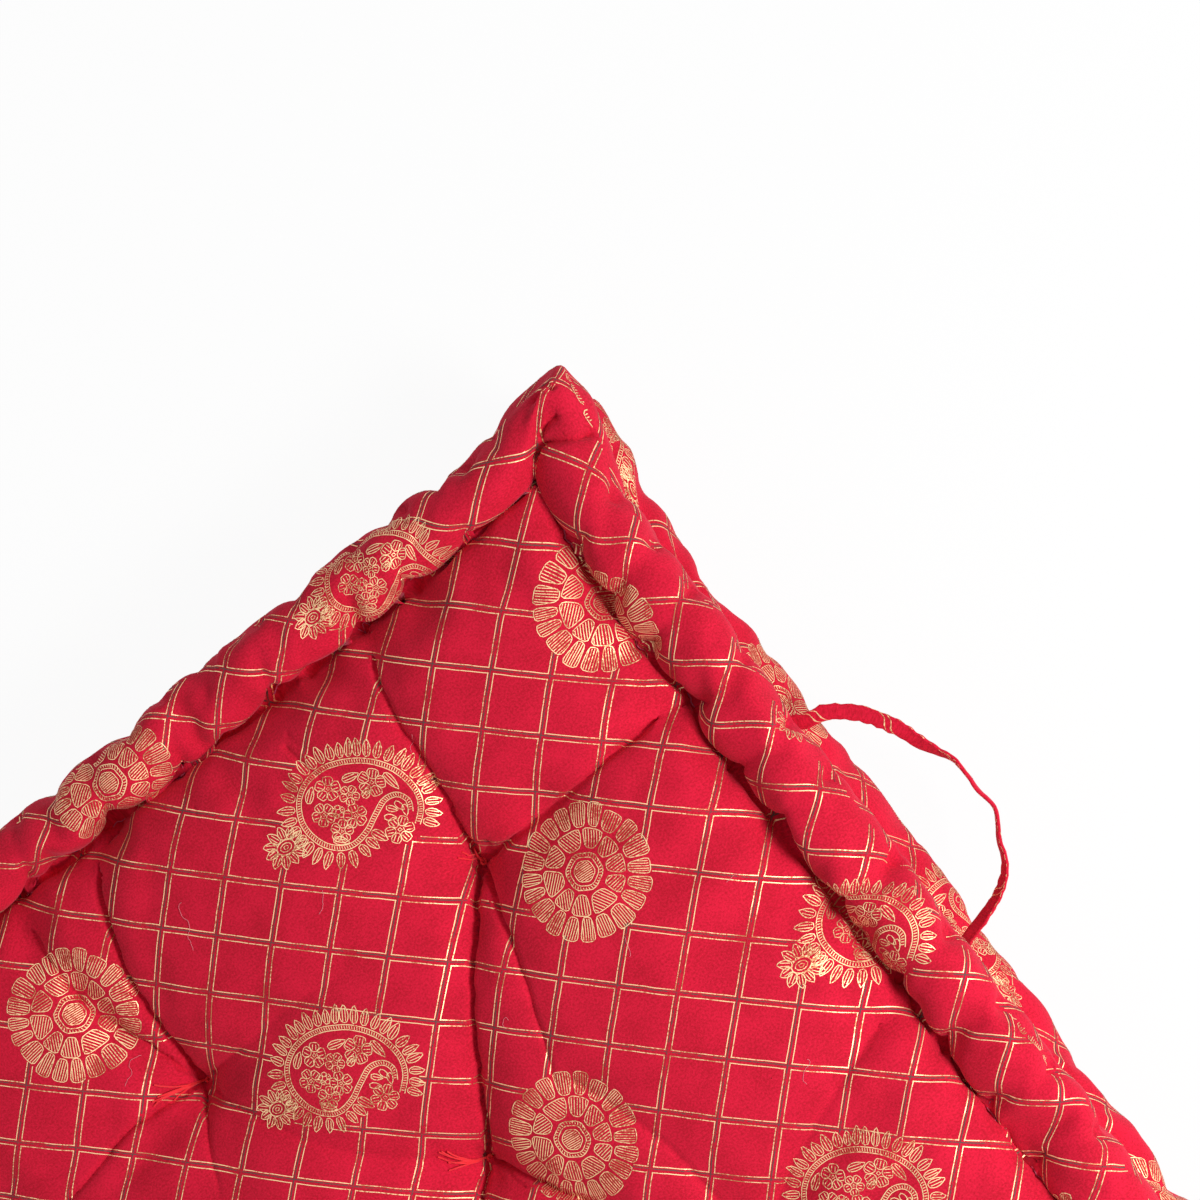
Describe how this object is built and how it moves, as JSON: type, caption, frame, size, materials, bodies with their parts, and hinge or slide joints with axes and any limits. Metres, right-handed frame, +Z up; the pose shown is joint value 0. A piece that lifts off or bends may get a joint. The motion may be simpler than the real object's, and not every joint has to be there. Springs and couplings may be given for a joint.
{
  "type": "box cushion",
  "caption": "Square tufted box cushion in printed cotton, with hand-stitched roll edges, drawn-in boxing and a fabric strap handle.",
  "frame": {"origin": "on the floor, under the middle of the whole footprint, handle included", "axes": "+Z up out of the tufted face, +X towards the side that carries the strap handle, +Y along that side"},
  "size_m": [0.529, 0.5138, 0.0929],
  "materials": {
    "printed_cotton": "plain-weave cotton, dyed red, screen printed in gold and brown",
    "strap_cotton": "folded and sewn strip of the cover's own cotton",
    "sewing_thread": "twisted cotton thread"
  },
  "bodies": {
    "root": {"cushion": "printed_cotton", "strap_handle": "strap_cotton"}
  },
  "joints": []
}
